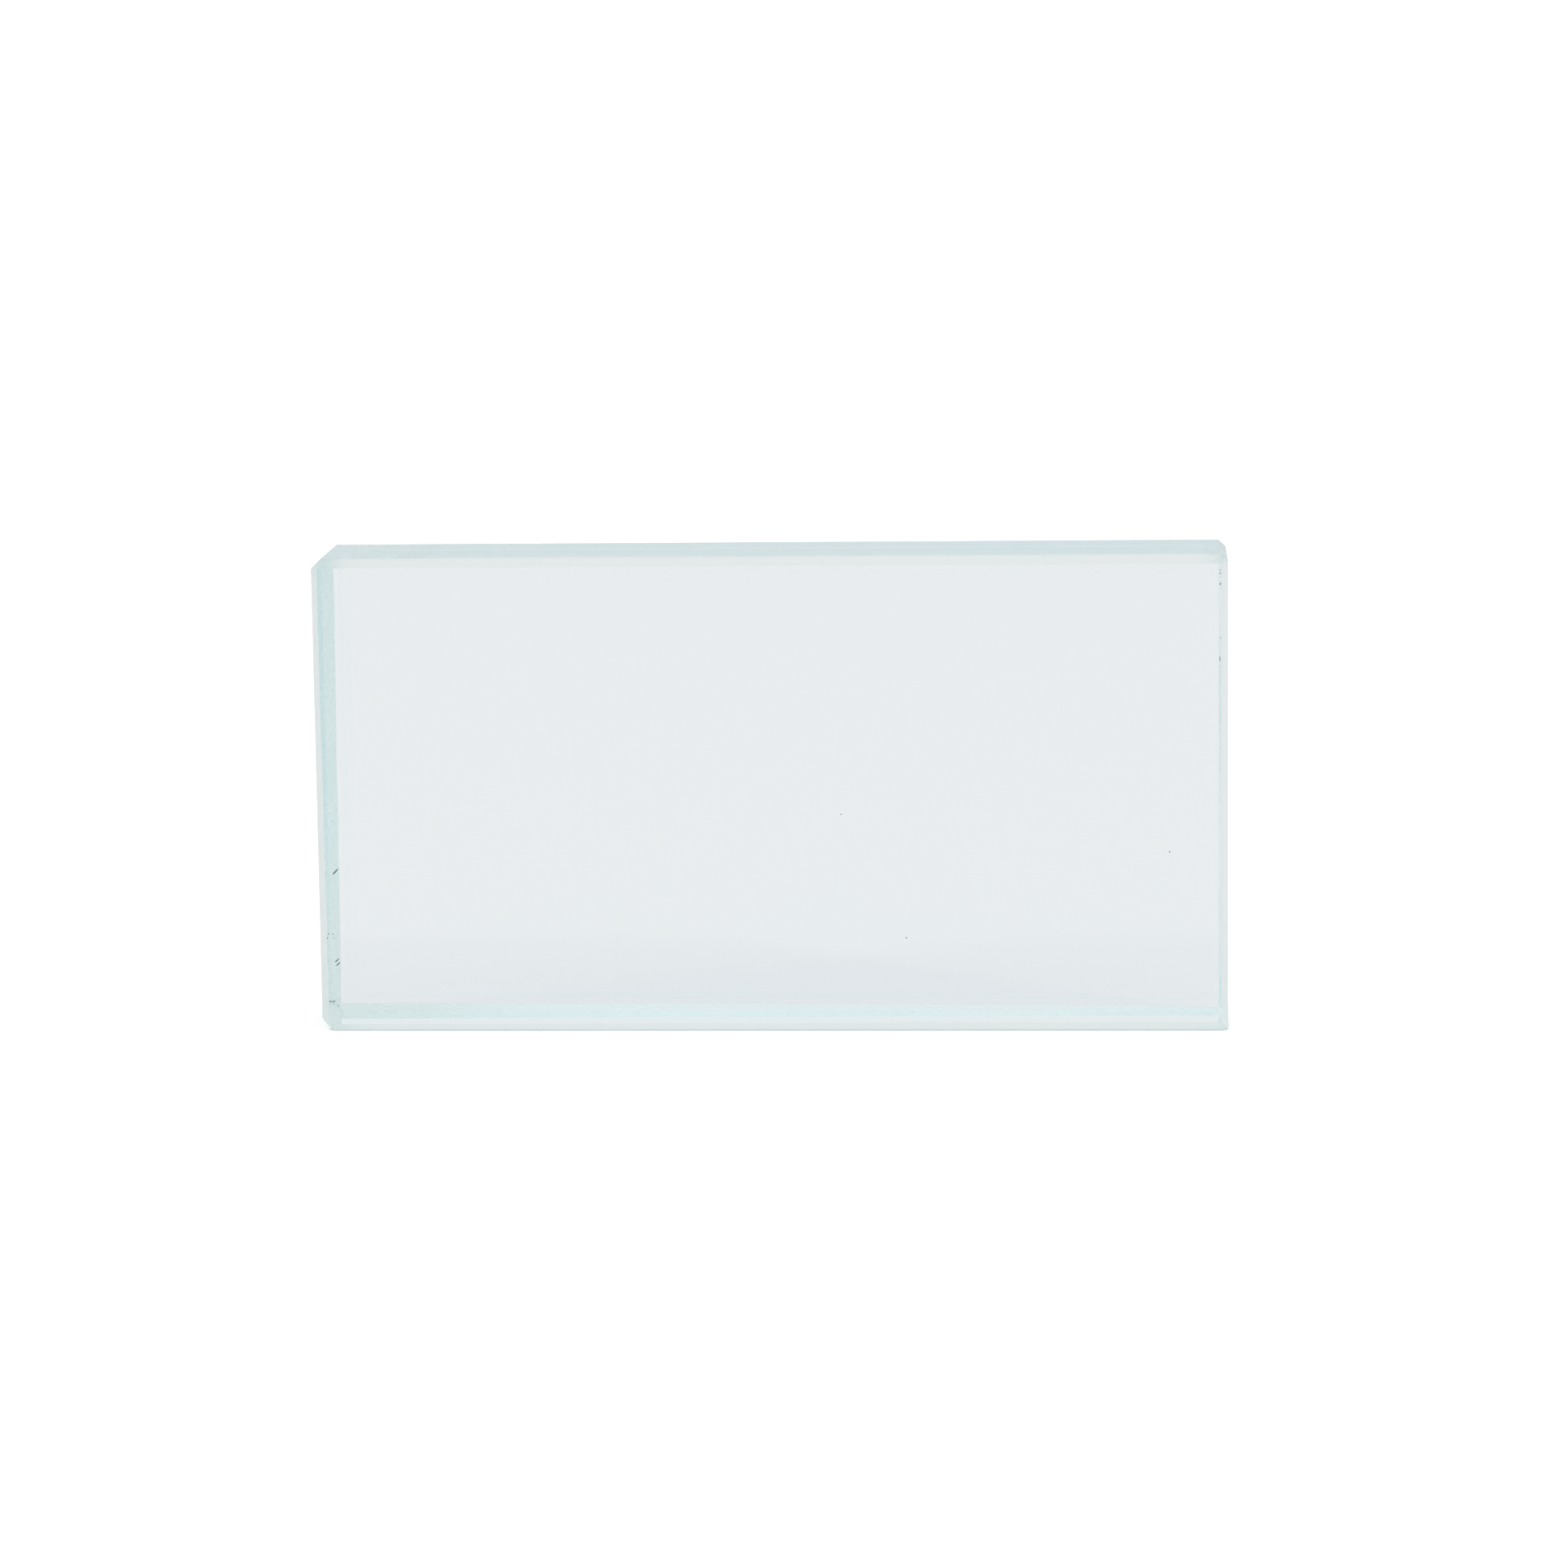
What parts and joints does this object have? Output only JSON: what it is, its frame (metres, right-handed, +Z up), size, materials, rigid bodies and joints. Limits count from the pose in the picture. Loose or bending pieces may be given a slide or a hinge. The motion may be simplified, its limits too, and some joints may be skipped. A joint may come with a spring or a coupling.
{
  "type": "rectangular glass block",
  "caption": "Solid block of clear glass with flat polished faces and narrow ground bevels, for showing how light bends and shifts as it passes through.",
  "frame": {"origin": "middle of the long narrow face that the block stands on", "axes": "+X along the block's length, +Y through its thickness from the front broad face to the back one, +Z up"},
  "size_m": [0.1154, 0.021, 0.06],
  "materials": {
    "clear_glass": "polished clear soda-lime glass with a faint blue-green tint along the edges"
  },
  "bodies": {
    "root": {"glass_block": "clear_glass"}
  },
  "joints": []
}
